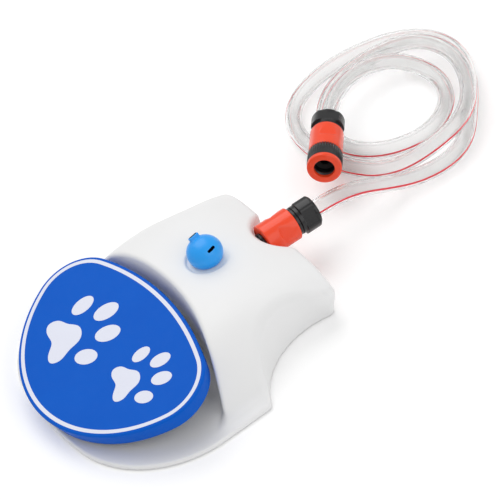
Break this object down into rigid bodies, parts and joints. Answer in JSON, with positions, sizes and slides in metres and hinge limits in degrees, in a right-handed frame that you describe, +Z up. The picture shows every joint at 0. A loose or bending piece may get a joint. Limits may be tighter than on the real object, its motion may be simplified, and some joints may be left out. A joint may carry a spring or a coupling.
{
  "type": "step-on pet water fountain",
  "caption": "Step-on pet sprinkler: a tilting tread opens a valve that feeds a turning side-spout nozzle through a coiled clear hose with quick couplings.",
  "frame": {"origin": "middle of the footprint of the base with its tread, on the floor", "axes": "+X to the right as seen from in front of the tread, +Y from the tread to the inlet, +Z up"},
  "size_m": [0.372, 0.6128, 0.0994],
  "materials": {
    "white_shell": "satin",
    "blue_pedal": "satin",
    "white_inlay": "gloss",
    "grey_frame": "matte",
    "sky_blue": "satin",
    "steel": "plain",
    "black_rubber": "matte",
    "white_fitting": "matte",
    "inner_tube": "satin",
    "black_plastic": "satin",
    "orange_plastic": "satin",
    "clear_hose": "clear gloss"
  },
  "bodies": {
    "base": {"body_shell": "white_shell", "base_plate": "white_shell", "rubber_feet": "black_rubber", "base_screws": "steel", "hinge_pin": "steel", "valve_body": "white_fitting", "valve_ports": "white_fitting", "valve_seal": "black_rubber", "valve_spring": "steel", "return_springs": "steel", "supply_tube": "inner_tube", "riser_tube": "inner_tube", "tube_clips": "grey_frame", "inlet_nipple": "black_plastic", "inlet_washer": "black_rubber", "inlet_nut": "black_plastic", "nozzle_socket": "white_fitting", "nozzle_nut": "white_fitting", "nozzle_seal": "black_rubber", "rear_core": "black_plastic", "rear_claws": "black_plastic", "rear_nut": "black_plastic", "rear_collet": "black_plastic", "rear_seal": "black_rubber", "hose": "clear_hose", "free_core": "black_plastic", "free_claws": "black_plastic", "free_nut": "black_plastic", "free_collet": "black_plastic", "free_seal": "black_rubber"},
    "pedal": {"pedal_cover": "blue_pedal", "pedal_border": "white_inlay", "paw_prints": "white_inlay", "pedal_frame": "grey_frame", "pedal_screws": "steel", "pusher_pad": "grey_frame"},
    "plunger": {"plunger": "white_fitting"},
    "nozzle": {"nozzle_cap": "sky_blue"},
    "rear_sleeve": {"rear_sleeve": "orange_plastic"},
    "free_sleeve": {"free_sleeve": "orange_plastic"},
    "tap_end": {"tap_ring": "orange_plastic", "tap_grip": "black_plastic", "tap_nipple": "black_plastic", "tap_washer": "black_rubber"}
  },
  "joints": [
    {"name": "pedal_hinge", "type": "hinge", "parent": "base", "child": "pedal", "pos_m": [0, -0.121, 0.013], "axis": [1, 0, 0], "range_deg": [-5, 0], "stiffness_Nm_per_rad": 3, "springref_deg": 6.88, "deforming": ["return_springs"]},
    {"name": "plunger_slide", "type": "slide", "parent": "base", "child": "plunger", "axis": [0, 0, 1], "range_m": [-0.0093, 0], "stiffness_N_per_m": 300, "springref_m": 0.005, "deforming": ["valve_spring"]},
    {"name": "nozzle_turn", "type": "hinge", "parent": "base", "child": "nozzle", "pos_m": [0, 0.069, 0.0719], "axis": [0, 0, 1], "continuous": true},
    {"name": "rear_sleeve_slide", "type": "slide", "parent": "base", "child": "rear_sleeve", "axis": [0, 1, 0], "range_m": [0, 0.0042], "stiffness_N_per_m": 1500, "springref_m": -0.002},
    {"name": "free_sleeve_slide", "type": "slide", "parent": "base", "child": "free_sleeve", "axis": [-0.8058, 0.5811, -0.1144], "range_m": [0, 0.0042], "stiffness_N_per_m": 1500, "springref_m": -0.002},
    {"name": "tap_end_swivel", "type": "hinge", "parent": "base", "child": "tap_end", "pos_m": [-0.06347, 0.24815, 0.04375], "axis": [0.8058, -0.5811, 0.1144], "continuous": true}
  ],
  "couplings": [
    {"joint": "plunger_slide", "follows": "pedal_hinge", "m_per_rad": 0.1045}
  ]
}
